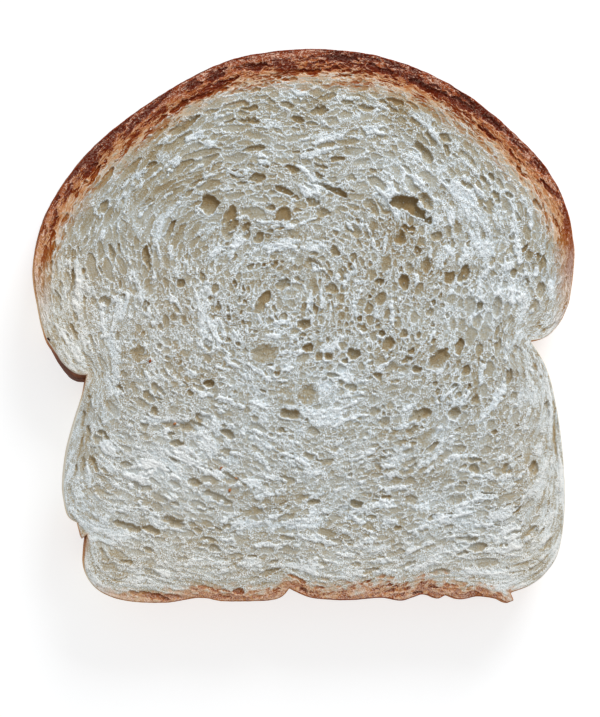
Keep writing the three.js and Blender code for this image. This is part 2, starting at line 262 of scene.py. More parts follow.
PALE_PLACES = [
    # middle x, y, how far it reaches, how much paler the crumb is there, or darker below 0; the
    # darker ones beside the deep cells above the middle are painted shade
    (-30, -30.7, 8, 0.3), (-38.4, -22.5, 7, 0.16), (-7.5, -24, 10, 0.18), (5.5, -13.5, 5, 0.1),
    (6, -31, 6, 0.1), (20, 37, 7, 0.14), (23, 31, 5, 0.1), (32, 24, 6, 0.08), (41, 4, 6, 0.16),
    (49.5, 8, 6, 0.1), (-47.5, -4, 5, 0.12), (13.5, -22, 7, 0.1), (33, -22, 6, 0.14),
    (33, -40, 8, 0.1), (36, -49, 9, 0.12), (49.5, -37, 5, -0.1), (-44, -44, 7, 0.1),
    (-25, -56, 7, 0.12), (-3.5, 22.5, 4, -0.18), (23, 21, 4, -0.18), (31.5, 13.5, 4, -0.12),
    (-30, -5, 5, -0.08), (57, 11, 5, 0.16), (9.5, -10.2, 1.8, 0.4), (5.6, -13.2, 2, 0.4),
    (-31, -3.5, 2.4, 0.15), (-36, 40, 8, -0.13), (23, 48.8, 6, -0.25), (19, 20, 8, -0.06),
    (-28, 31, 9, -0.04),
]
KNIFE_OFFSET = 0.9
SMALLEST_CELL = 0.45
LARGEST_CELL = 3.0
CELL_TRIES = 90000
KNIFE_WAY = (0.36, 0.93)
COARSE_STATIONS = 3
MEASURED_AT_ONCE = 20000


def cloud(x, y, size, seed):
    """Smooth noise from -1 to 1, with features of one size."""
    table = np.random.default_rng(seed).uniform(-1, 1, (256, 256)).astype(np.float32)
    u, v = x / size, y / size
    i, j = np.floor(u).astype(int), np.floor(v).astype(int)
    u, v = u - i, v - j
    u, v = u * u * (3 - 2 * u), v * v * (3 - 2 * v)
    i, j = i % 256, j % 256
    after_i, after_j = (i + 1) % 256, (j + 1) % 256
    near = table[i, j] * (1 - u) + table[after_i, j] * u
    far = table[i, after_j] * (1 - u) + table[after_i, after_j] * u
    return near * (1 - v) + far * v


def clouds(x, y, size, seed, octaves=3):
    """Noise of several sizes, each half as large and half as strong as the one before."""
    return sum(cloud(x, y, size / 2**k, seed + k) / 2**k for k in range(octaves))


def soft_step(value, low, high):
    """0 below low, 1 above high, and a soft slope between."""
    share = np.clip((value - low) / (high - low), 0, 1)
    return share * share * (3 - 2 * share)


def soften(field, reach):
    """The field blurred over a reach that is given in grid steps."""
    rows = np.fft.fftfreq(field.shape[0])[:, None]
    columns = np.fft.rfftfreq(field.shape[1])[None, :]
    fade = np.exp(-2 * (math.pi * reach) ** 2 * (rows**2 + columns**2))
    return np.fft.irfft2(np.fft.rfft2(field) * fade, field.shape)


class Face:
    """One cut face as a height map: how far inside the outline each point lies, which station of
    the outline is nearest, which way cells lie there, and the relief that opened cells leave."""

    def __init__(self, ring, step, seed):
        self.step, self.seed, self.ring = step, seed, ring
        self.xs = np.arange(ring[:, 0].min() - 2 * step, ring[:, 0].max() + 2 * step, step)
        self.ys = np.arange(ring[:, 1].min() - 2 * step, ring[:, 1].max() + 2 * step, step)
        x, y = np.meshgrid(self.xs, self.ys)
        self.x, self.y = x, y
        self.inside, self.station, self.along = self.measure()
        self.inward = np.clip(self.inside, 0, None)
        self.lie = self.lie_of_cells()
        self.browned = self.inward / brown_depth[self.station]
        self.toast = 1 - self.browned
        self.brown = cut_brown[self.station]
        # each from 0 to 1: close to the outline, low down, among the flat cells at the upper left,
        # among the open cells right of the middle, in dark crust, close to an outline without it,
        # in the foot's crumbly crust, and where strands lie combed along the outline
        self.edge = np.exp(-((self.inward / 7) ** 2))
        self.low_band = soft_step(-y, 16, 34)
        self.flat = np.exp(-((x + 36) ** 2 + (y - 32) ** 2) / 20**2)
        self.open = np.exp(-((x - 17) / 30) ** 2 - ((y - 7) / 22) ** 2)
        self.crusty = soft_step(-self.browned, -1.25, -0.85) * soft_step(self.brown, 0.3, 0.6)
        self.calm = np.exp(-self.inward / 3) * (1 - self.crusty)
        self.crumbly = soft_step(-y, 48, 56)
        self.combed = self.edge * (0.35 + 0.65 * soft_step(y, -20, -10)) * (1 - self.crumbly)
        # the widest cell that fits, in millimetres, and how much longer than wide cells are
        self.room = 2.3 + 0.6 * self.open + 0.7 * self.noise(13, 8) - 1.1 * self.crusty
        stretch = 1.3 + 0.3 * self.noise(7, 5, 1) + 3 * self.edge + 0.8 * self.low_band
        self.stretch = stretch + 2.8 * self.flat + 0.7 * soft_step(y, 15, 40)
        # how much paler the crumb is, and how much yellower
        pale = sum(much * np.exp(-((x - middle_x) ** 2 + (y - middle_y) ** 2) / reach**2)
                   for middle_x, middle_y, reach, much in PALE_PLACES)
        self.pale = pale + 0.05 * soft_step(-y, 30, 42)
        overhang = soft_step(-x, 41, 54) * soft_step(y, -18, -9) * soft_step(-y, -24, -8)
        cream = soft_step(x, 38, 58) * soft_step(-y, -16, 4) + 1.3 * overhang
        cream = cream + 0.2 * self.low_band + 0.5 * soft_step(-y, 42, 52)
        cream = cream + 0.4 * soft_step(-x, 8, 32) * soft_step(-y, -22, -8)
        self.cream = np.clip(cream, 0, 1.3)
        # ragged places for the cells' edges, and what each point knows of the cells round it
        self.warped_x, self.warped_y = (
            line + 0.28 * self.noise(2, kind) + 0.2 * self.noise(0.7, kind + 2)
            for line, kind in ((x, 31), (y, 41)))
        self.near = np.full(x.shape, 9.0)
        self.second = self.near.copy()
        self.cell = np.zeros(x.shape, int)
        self.cells = [(0, 0, 1, 0, 1, 0)]

    def measure(self):
        """Distance inside the outline, negative outside it, the nearest station, and how far
        along the outline the nearest point of it is."""
        ring = self.ring.astype(np.float32)
        spots = np.stack([self.x.ravel(), self.y.ravel()], 1).astype(np.float32)
        coarse = ring[::COARSE_STATIONS]
        nearest = COARSE_STATIONS * np.concatenate([
            ((part[:, :1] - coarse[:, 0]) ** 2 + (part[:, 1:] - coarse[:, 1]) ** 2).argmin(1)
            for part in np.array_split(spots, len(spots) // MEASURED_AT_ONCE + 1)])
        distance = np.full(len(spots), np.inf)
        reached = np.zeros(len(spots))
        for shift in (-3, -2, -1, 0, 1, 2):
            a = ring[(nearest + shift) % len(ring)]
            side = ring[(nearest + shift + 1) % len(ring)] - a
            share = np.clip(((spots - a) * side).sum(1) / (side**2).sum(1), 0, 1)
            gap = np.hypot(*(spots - a - side * share[:, None]).T)
            reached = np.where(gap < distance, nearest + shift + share, reached)
            distance = np.minimum(distance, gap)
        within = np.zeros(self.x.shape, bool)
        after = np.roll(self.ring, -1, 0)
        for row, y in enumerate(self.ys):
            crosses = (self.ring[:, 1] > y) != (after[:, 1] > y)
            a, b = self.ring[crosses], after[crosses]
            at = np.sort(a[:, 0] + (y - a[:, 1]) * (b[:, 0] - a[:, 0]) / (b[:, 1] - a[:, 1]))
            within[row] = np.searchsorted(at, self.xs) % 2 == 1
        signed = np.where(within.ravel(), distance, -distance)
        return [field.reshape(self.x.shape) for field in (signed, nearest, STATION_STEP * reached)]

    def lie_of_cells(self):
        """The way that cells lie, in radians: along the crust near it, along rounded rings."""
        x, y = self.x - RING_MIDDLE[0], self.y - RING_MIDDLE[1]
        across = np.sign(x) * np.abs(x / HALF_CROWN) ** (RING_POWER - 1)
        up = np.sign(y) * np.abs(y / TOP) ** (RING_POWER - 1)
        up = up * (1 + 1.6 * soft_step(-y, 0, 30))
        ring_turn = np.arctan2(up, across) + math.pi / 2
        out = outward_of(self.ring)[self.station]
        edge_turn = np.arctan2(out[..., 1], out[..., 0]) + math.pi / 2
        pull = np.exp(-self.inward / 8)
        c = np.cos(2 * ring_turn) * (1 - pull) + np.cos(2 * edge_turn) * pull
        s = np.sin(2 * ring_turn) * (1 - pull) + np.sin(2 * edge_turn) * pull
        c, s = soften(c, 1.5 / self.step), soften(s, 1.5 / self.step)
        stray = 0.25 + 0.3 * soft_step(self.inside, 8, 30)
        return np.arctan2(s, c) / 2 + stray * self.noise(10, 3, 3)

    def open_cell(self, row, column, length, width, turn, depth, slope, cell_shade, joins=False):
        """Opens one cell: every point nearby learns how far it is from the nearest cell's edge,
        negative inside it, how far from the next one's, and which cell is the nearest. A cell
        that joins its neighbour has no wall towards it."""
        reach = 0.5 * length + 0.9
        here = tuple(slice(*np.searchsorted(line, (line[at] - reach, line[at] + reach)))
                     for line, at in ((self.ys, row), (self.xs, column)))
        x, y = self.warped_x[row, column], self.warped_y[row, column]
        dx, dy = self.warped_x[here] - x, self.warped_y[here] - y
        along = dx * math.cos(turn) + dy * math.sin(turn)
        across = dy * math.cos(turn) - dx * math.sin(turn)
        far = 2 * np.sqrt((along / length) ** 2 + (across / width) ** 2) + 1e-3
        gap = np.hypot(dx, dy) * (1 - 1 / far)
        near, second = self.near[here], self.second[here]
        first = gap < near
        if not joins:
            second[:] = np.where(first, near, np.minimum(second, gap))
        near[first] = gap[first]
        self.cell[here][first] = len(self.cells)
        self.cells.append((x, y, width, depth, slope, cell_shade))

    def open_known_cells(self, known):
        """Opens the cells whose places are known."""
        for x, y, length, width, turn, *bowl in known:
            depth, steep = bowl or COMMON_BOWL
            row, column = np.searchsorted(self.ys, y), np.searchsorted(self.xs, x)
            # a deeper cell gets a darker floor, painted shade
            cell_shade = min(0.24 + 0.26 * depth, 0.85)
            joins = self.near[row, column] < 0.5 * width
            self.open_cell(row, column, length, width, math.radians(turn), 0.5 * depth, 1 / steep,
                           cell_shade, joins)

    def open_small_cells(self):
        """Fills the rest with cells from large to small, each where there is still room for it,
        so that they press on each other and leave thin walls."""
        random = np.random.default_rng(self.seed)
        widths = np.minimum(SMALLEST_CELL * (1 + random.pareto(2.8, CELL_TRIES)), LARGEST_CELL)
        widths = np.sort(widths)[::-1]
        rows = random.integers(0, len(self.ys), CELL_TRIES)
        columns = random.integers(0, len(self.xs), CELL_TRIES)
        chances = random.uniform(0, 1, (CELL_TRIES, 3))
        fits = self.inside[rows, columns] > 0.3 * widths + 0.2
        for width, row, column, chance in zip(widths[fits], rows[fits], columns[fits], chances[fits]):
            if self.near[row, column] < 0.2 * width or width > self.room[row, column]:
                continue
            length = width * self.stretch[row, column] * (0.75 + 0.5 * chance[2])
            turn = self.lie[row, column]
            end_row = round(0.35 * length * math.sin(turn) / self.step)
            end_column = round(0.35 * length * math.cos(turn) / self.step)
            ends = np.clip([row + end_row, row - end_row], 0, len(self.ys) - 1)
            sides = np.clip([column + end_column, column - end_column], 0, len(self.xs) - 1)
            if self.near[ends, sides].min() < -0.08 * width:
                continue
            openness = self.open[row, column]
            calm = 1 - 0.8 * self.calm[row, column]
            depth = width * calm * (0.045 + 0.2 * chance[0] ** (5 - 2 * openness))
            slope = 0.25 + 0.75 * chance[1]
            # a deeper cell gets a darker floor, painted shade, by the same chance as its depth
            cell_shade = calm * (0.15 + 0.06 * openness + 0.42 * chance[0] ** (5 - 2.4 * openness))
            cell_shade = cell_shade * min(max(width / 1.2, 0.5), 1) + 0.3 * self.crusty[row, column] * chance[1]
            self.open_cell(row, column, length, width, turn, depth, slope, cell_shade)

    def noise(self, size, kind, octaves=2):
        """Clouds over the face, other ones for each kind."""
        return clouds(self.x, self.y, size, self.seed + kind, octaves)

    def streaks(self, size, length, kind):
        """Noise from about -1 to 1 that is drawn out along the cells' lie, with ragged edges."""
        count = max(9, round(1.2 * length / size))
        x, y = self.x + 0.1 * self.noise(0.7, kind + 1), self.y + 0.1 * self.noise(0.7, kind + 3)
        way_x, way_y = np.cos(self.lie), np.sin(self.lie)
        drawn = sum(cloud(x + reach * way_x, y + reach * way_y, size, self.seed + kind)
                    for reach in np.linspace(-length / 2, length / 2, count))
        return drawn / math.sqrt(count) * 0.75

    def raise_walls(self):
        """The relief: the opened cells' floors, thin walls between them, torn walls, and the slight
        unevenness of a sawn slice, with masks for painted shade on cell floors and painted highlights
        on rims."""
        x, y, edge = self.x, self.y, self.edge
        # torn crumb, in long bands and in clumps
        ragged = self.noise(0.7, 70, 3)
        drawn = 0.25 * ragged + 0.3 * self.streaks(0.5, 3, 60)
        band = self.streaks(1.9, 8, 12) + 0.55 * self.noise(7, 16)
        clump = self.streaks(1.1, 5, 20) + 0.3 * self.noise(3, 24)
        torn = soft_step(band - 0.4 * self.open + drawn, 0.4, 1.1) * (0.7 - 0.3 * self.flat)
        torn = np.maximum(torn, soft_step(clump + drawn + 0.12 * self.low_band, 0.62, 0.92))
        # the bowl of each cell, deeper towards the side that the knife came from, and the wall that
        # it tore on the other side, raised there and whitened as a painted highlight where the
        # window's light falls
        cells = np.array(self.cells)[self.cell]
        middle_x, middle_y, width, depth, slope, cell_shade = np.moveaxis(cells, 2, 0)
        inner = np.minimum(-self.near, (self.second - self.near) / 2 - 0.05)
        bowl = soft_step(inner / width, 0, 0.5 * slope)
        up = (self.warped_x - middle_x) * KNIFE_WAY[0] + (self.warped_y - middle_y) * KNIFE_WAY[1]
        below = np.exp(-((inner + 0.15) / 0.35) ** 2) * soft_step(-up / width, 0.05, 0.5)
        below = below * soft_step(cell_shade, 0.25, 0.6) * soft_step(ragged, -0.9, 0.3)
        torn = np.maximum(torn * (1 - soft_step(depth, 0.45, 0.6)), below)
        torn = torn * soft_step(self.browned, 0.9, 1.6) * (1 - 0.6 * edge)
        lean = 0.3 + 0.5 * soft_step(-y, -10, 20)
        bowl = bowl * np.clip(1 + lean * up / width, 0.2, 2) * (1 - 0.6 * torn)
        full = np.clip(bowl, 0, 1)
        # what is seen in a cell: painted shade on its floor, darker in deep cells and under the wall
        # towards the window, and the walls between cells
        painted_shade_side = np.clip(1 + 0.5 * up / width, 0.3, 1.6)
        sill = 0.18 + 0.5 * np.clip(-up / width, 0, 1)
        self.floor = soft_step(inner, 0, sill) * cell_shade * painted_shade_side * (1 - 0.6 * torn)
        self.cup = soft_step(inner, 0, 0.25) * (1 - torn)
        walls = np.clip(1 - np.abs(self.streaks(1.0, 4, 80)), 0, 1) ** 2
        threads = np.clip(1 - np.abs(self.streaks(0.45, 1.8, 84)), 0, 1) ** 2
        net = 0.4 * walls + 0.6 * threads
        froth = (1 - full) * (net + 0.55 * ragged) * (1 - 0.85 * np.maximum(edge, 0.6 * self.flat))
        fibre = 0.6 * self.streaks(0.5, 7, 90) + 0.6 * self.streaks(0.3, 4, 94)
        # the cells' thin raised rims with a painted highlight, painted light along the outline at the
        # right, and where loose flakes hang on
        painted_edge_light = np.exp(-self.inward / 6) * soft_step(x, 36, 50) * np.clip(0.65 + 0.5 * fibre, 0, 1.2)
        painted_edge_light = np.maximum(painted_edge_light * soft_step(-y, -12, 4), 0.5 * self.calm)
        rim = np.exp(-((inner - 0.02) / 0.13) ** 2) * (0.25 + 0.75 * soft_step(drawn, -0.15, 0.25))
        rim = rim * (0.5 + 0.5 * soft_step(y, -26, -4)) * (0.6 + 0.4 * soft_step(width, 0.6, 1.3))
        rim = np.maximum(rim, painted_edge_light)
        flaky = (0.04 + torn + 0.25 * rim) * soft_step(ragged, -0.3, 0.7)
        flaky = flaky + 0.5 * np.clip(self.pale, 0, 0.4) + 0.25 * edge
        self.flaky = flaky * (1 - 0.8 * full) * (depth < 0.5)
        height = 0.08 * froth + 0.22 * torn * (0.6 + 0.6 * threads + 0.3 * ragged) - bowl * depth
        height += 0.08 * rim + 0.13 * edge * fibre
        height += 0.16 * self.noise(9, 50) + 0.14 * self.noise(3.2, 55, 1)
        self.height = height * (0.4 + 0.6 * soft_step(self.inward, 0.2, 1.0))
        self.layer = self.streaks(1.3, 9, 98)
        self.torn, self.rim, self.froth, self.fibre, self.shade = torn, rim, froth, fibre, cell_shade

    def read_relief(self):
        """What the finish needs to know: how far below its surroundings each point lies, by which the
        cut crust is darkened as painted shade.
        """
        level = np.where(self.inside > 0, self.height, 0)
        self.hollow = np.minimum(soften(level, 1.3 / self.step) - level, 0.45)


def clip_grid(face, signed):
    """Triangles over the part of the face's grid where signed is above zero, cut at its edge.
    Gives the grid weights of each vertex and the triangles."""
    rows, columns = signed.shape
    snap = 0.15 * face.step
    signed = np.where(np.abs(signed) < snap, np.where(signed < 0, -snap, snap), signed).ravel()
    index = np.arange(rows * columns).reshape(rows, columns)
    a, b = index[:-1, :-1].ravel(), index[:-1, 1:].ravel()
    c, d = index[1:, 1:].ravel(), index[1:, :-1].ravel()
    flip = (a // columns + a % columns) % 2 == 0
    first, second = np.where(flip, [a, b, c], [a, b, d]), np.where(flip, [a, c, d], [b, c, d])
    corners = np.hstack([first, second]).T
    inside = signed[corners] > 0
    count = inside.sum(1)
    whole = corners[count == 3]

    def turned(chosen, lone):
        """The chosen triangles, turned so that the lone corner comes first."""
        return chosen[np.arange(len(chosen))[:, None], (lone[:, None] + [0, 1, 2]) % 3]

    one = turned(corners[count == 1], inside[count == 1].argmax(1))
    two = turned(corners[count == 2], (~inside[count == 2]).argmax(1))
    cuts = np.vstack([one[:, [0, 1]], one[:, [0, 2]], two[:, [1, 0]], two[:, [2, 0]]])
    pairs, where = np.unique(np.sort(cuts, 1), axis=0, return_inverse=True)
    where = where.ravel() + rows * columns
    one_b, one_c, two_b, two_c = np.split(where, np.cumsum([len(one), len(one), len(two)]))
    triangles = np.hstack([
        whole.T, [one[:, 0], one_b, one_c],
        [two[:, 1], two[:, 2], two_b], [two[:, 2], two_c, two_b],
    ]).T
    used, triangles = np.unique(triangles, return_inverse=True)
    triangles = triangles.reshape(-1, 3)
    # each vertex lies on one grid point, or between the two that its cut parts
    alone = np.repeat(np.arange(rows * columns)[:, None], 2, 1)
    start, end = np.vstack([alone, pairs])[used].T
    gap = signed[start] - signed[end]
    share = np.divide(signed[start], gap, out=np.zeros(len(used)), where=gap != 0)
    return start, end, share, triangles


def build_mesh(name, vertices, triangles, corner_uv, attributes):
    """A mesh object at the origin from arrays in millimetres, with its own map and attributes."""
    mesh = bpy.data.meshes.new(name)
    mesh.vertices.add(len(vertices))
    mesh.vertices.foreach_set("co", (vertices * MM).astype(np.float32).ravel())
    mesh.loops.add(3 * len(triangles))
    mesh.loops.foreach_set("vertex_index", triangles.astype(np.int32).ravel())
    mesh.polygons.add(len(triangles))
    mesh.polygons.foreach_set("loop_start", np.arange(0, 3 * len(triangles), 3, dtype=np.int32))
    mesh.update(calc_edges=True)
    if corner_uv is not None:
        layer = mesh.uv_layers.new(name="OFBake")
        layer.data.foreach_set("uv", corner_uv.astype(np.float32).ravel())
    for label, values in attributes.items():
        attribute = mesh.attributes.new(label, "FLOAT", "POINT")
        attribute.data.foreach_set("value", values.astype(np.float32))
    mesh.validate()
    piece = bpy.data.objects.new(name, mesh)
    bpy.context.scene.collection.objects.link(piece)
    return piece


CRUMB_FIELDS = "hollow torn froth fibre edge floor rim shade layer pale cream lie flaky toast brown"
CRUMB_FIELDS += " along inward crumbly combed cup"


def crumb_slab(name, face, signed, rise):
    """A closed block of crumb: the relief of the cut face at one share of the thickness, 0 or 1,
    a wall to the middle of the slice and a flat back there."""
    start, end, share, triangles = clip_grid(face, signed)

    def on_vertices(field):
        values = field.ravel()
        return values[start] * (1 - share) + values[end] * share

    sense = 1 if rise else -1
    x, y = on_vertices(face.x), on_vertices(face.y)
    z = rise * THICKNESS + sense * on_vertices(face.height)
    count = len(x)
    relief = np.stack([x, y, z], 1)
    edges = np.vstack([triangles[:, [0, 1]], triangles[:, [1, 2]], triangles[:, [2, 0]]])
    keys = edges[:, 0] * count + edges[:, 1]
    border = edges[~np.isin(keys, edges[:, 1] * count + edges[:, 0])]
    rim_vertices = np.unique(border)
    low_of = np.zeros(count, int)
    low_of[rim_vertices] = count + np.arange(len(rim_vertices))
    low = relief[rim_vertices].copy()
    low[:, :2] += knife_shift(low[:, :2], 0.5) - knife_shift(low[:, :2], rise)
    low[:, 2] = THICKNESS / 2
    hub = low.mean(0)
    vertices = np.vstack([relief, low, hub])
    vertices[:, :2] -= ring_middle
    a, b = border.T
    wall = np.hstack([[b, a, low_of[a]], [b, low_of[a], low_of[b]]]).T
    back = np.stack([low_of[b], low_of[a], np.full(len(a), len(vertices) - 1)], 1)
    # the map: the face over most of it, the wall in a strip, the back small in a corner
    span = np.ptp(vertices[:count, :2], 0).max() * 1.01
    plan = (vertices[:, :2] - vertices[:count, :2].min(0)) / span
    around = np.arctan2(*(vertices - vertices[-1]).T[1::-1])
    level = np.where(np.arange(len(vertices)) < count, 0.990, 0.975)
    strip = np.stack([around / (2 * math.pi) * 0.98 + 0.5, level], 1)
    wall_uv = strip[wall]
    wraps = np.ptp(wall_uv[..., 0], 1) > 0.5
    wall_uv[wraps, :, 0] = np.where(wall_uv[wraps, :, 0] > 0.5, 0.995, 0)
    corner_uv = np.vstack([
        plan[triangles].reshape(-1, 2) * 0.96,
        wall_uv.reshape(-1, 2),
        plan[back].reshape(-1, 2) * 0.1 + [0.001, 0.86],
    ])
    faces = np.vstack([triangles, wall, back])
    if sense < 0:
        faces = faces[:, ::-1]
        corner_uv = corner_uv.reshape(-1, 3, 2)[:, ::-1].reshape(-1, 2)
    attributes = {}
    for label in CRUMB_FIELDS.split():
        values = on_vertices(getattr(face, label))
        attributes[label] = np.concatenate([values, values[rim_vertices], [0]])
    piece = build_mesh(name, vertices, faces, corner_uv, attributes)
    sharp = piece.data.attributes.new("sharp_face", "BOOLEAN", "FACE")
    sharp.data.foreach_set("value", np.arange(len(faces)) >= len(triangles))
    return piece


UPPER_STEP = 0.16
LOWER_STEP = 0.38
SKIN_INSET = 0.2
BLOCKS_TOP = 70
BLOCK_BORDERS = {"crown": 35, "shoulder": 15, "heart": -3, "waist": -22, "tin": -41, "foot": -70}

upper = Face(ring_at(THICKNESS), UPPER_STEP, 7)
upper.open_known_cells([(x + KNIFE_OFFSET, *rest) for x, *rest in BIG_CELLS])
upper.open_small_cells()
upper.raise_walls()
upper.read_relief()
crumb_blocks = []
top = BLOCKS_TOP
for name, base in BLOCK_BORDERS.items():
    band = np.minimum(top - upper.y, upper.y - base)
    block = np.minimum(upper.inside - SKIN_INSET, band)
    crumb_blocks.append(crumb_slab(name + "_crumb", upper, block, 1))
    top = base

lower = Face(ring_at(0), LOWER_STEP, 23)
lower.open_small_cells()
lower.raise_walls()
lower.height = np.minimum(lower.height, 0)
lower.read_relief()
crumb_blocks.append(crumb_slab("under_crumb", lower, lower.inside - SKIN_INSET, 0))


def rgb(red, green, blue):
    """A colour as eyes see it, 0 to 255, in Blender's linear numbers."""
    return tuple(
        v / 12.92 / 255 if v <= 10 else ((v / 255 + 0.055) / 1.055) ** 2.4
        for v in (red, green, blue)) + (1,)


class Socket:
    """A shader value that takes arithmetic, so that a material reads as sums."""

    def __init__(self, tree, link):
        self.tree = tree
        self.link = link

    def node(self, kind, settings=None, outlet=0, **values):
        """Another node of the same tree: its settings first, then its sockets."""
        made = self.tree.nodes.new(kind)
        for label, value in (settings or {}).items():
            if label == "stops":
                ramp = made.color_ramp
                while len(ramp.elements) < len(value):
                    ramp.elements.new(0.5)
                for element, (place, *colour) in zip(ramp.elements, value):
                    element.position = place
                    element.color = rgb(*colour)
            else:
                setattr(made, label, value)
        for label, value in values.items():
            name = label.replace("_", " ")
            place = int(label[1:]) if label[0] == "i" and label[1:].isdigit() else name
            if isinstance(value, Socket):
                self.tree.links.new(value.link, made.inputs[place])
            else:
                made.inputs[place].default_value = value
        return Socket(self.tree, made.outputs[outlet])

    def maths(self, operation, other):
        return self.node("ShaderNodeMath", {"operation": operation}, i0=self, i1=other)

    def __add__(self, other):
        return self.maths("ADD", other)

    __radd__ = __add__

    def __mul__(self, other):
        return self.maths("MULTIPLY", other)

    __rmul__ = __mul__

    def __sub__(self, other):
        return self.maths("SUBTRACT", other)

    def __rsub__(self, other):
        return self.node("ShaderNodeMath", {"operation": "SUBTRACT"}, i0=other, i1=self)

    def step(self, low, high, start=0.0, end=1.0):
        """A soft step: start below low, end above high."""
        return self.node("ShaderNodeMapRange", {"interpolation_type": "SMOOTHSTEP"},
                         i0=self, i1=low, i2=high, i3=start, i4=end)

    def ramp(self, *stops):
        """Colours along this value: each stop is a place, then red, green and blue."""
        return self.node("ShaderNodeValToRGB", {"stops": stops}, i0=self)

    def blend(self, other, share):
        """This colour, with the other over it by share."""
        return self.node("ShaderNodeMix", {"data_type": "RGBA"}, 2, i0=share, i6=self, i7=other)

    def tint(self, colour, share):
        """This colour, multiplied by another one by share."""
        return self.node("ShaderNodeMix", {"data_type": "RGBA", "blend_type": "MULTIPLY"}, 2,
                         i0=share, i6=self, i7=colour)


def new_material(name):
    """An empty material, and a socket wrapper on its tree with the object's coordinates."""
    material = bpy.data.materials.new(name)
    material.use_nodes = True
    tree = material.node_tree
    tree.nodes.clear()
    place = Socket(tree, tree.nodes.new("ShaderNodeTexCoord").outputs["Object"])
    return material, place


def attributes(place, names):
    """What the mesh says at each point, one value for each name."""
    return [place.node("ShaderNodeAttribute", {"attribute_name": name}, 2) for name in names.split()]


def noise(place, size, detail=2.0, roughness=0.5):
    """Noise from 0 to 1 with features of that size in millimetres."""
    return place.node("ShaderNodeTexNoise", Vector=place, Scale=1 / (size * MM),
                      Detail=detail, Roughness=roughness)


def surface(place, colour, roughness, bump=None, **constants):
    """The shader on the material's output, with a bump where there is one."""
    tree = place.tree
    if bump:
        height, depth = bump
        constants["Normal"] = place.node("ShaderNodeBump", Strength=1.0,
                                         Distance=depth * MM, Height=height)
    shader = place.node("ShaderNodeBsdfPrincipled", Base_Color=colour,
                        Roughness=roughness, **constants)
    out = tree.nodes.new("ShaderNodeOutputMaterial")
    tree.links.new(shader.link, out.inputs["Surface"])


def cut_crust_colours(toast, hollow, glint):
    """The cut crust's colours: caramel and red-brown layers, darker by the second value, which on the
    cut face is partly painted shade in the flat cells, with painted pinkish glints by the third.
    """
    layer = toast.ramp(
        (0.0, 228, 210, 188), (0.22, 224, 184, 146), (0.45, 204, 140, 86),
        (0.7, 172, 90, 46), (1.0, 144, 62, 32))
    dark = toast.ramp(
        (0.0, 184, 152, 112), (0.22, 176, 112, 52), (0.45, 146, 64, 12),
        (0.7, 106, 30, 2), (1.0, 86, 20, 0))
    return layer.blend(dark, hollow).blend(rgb(242, 200, 176), glint)


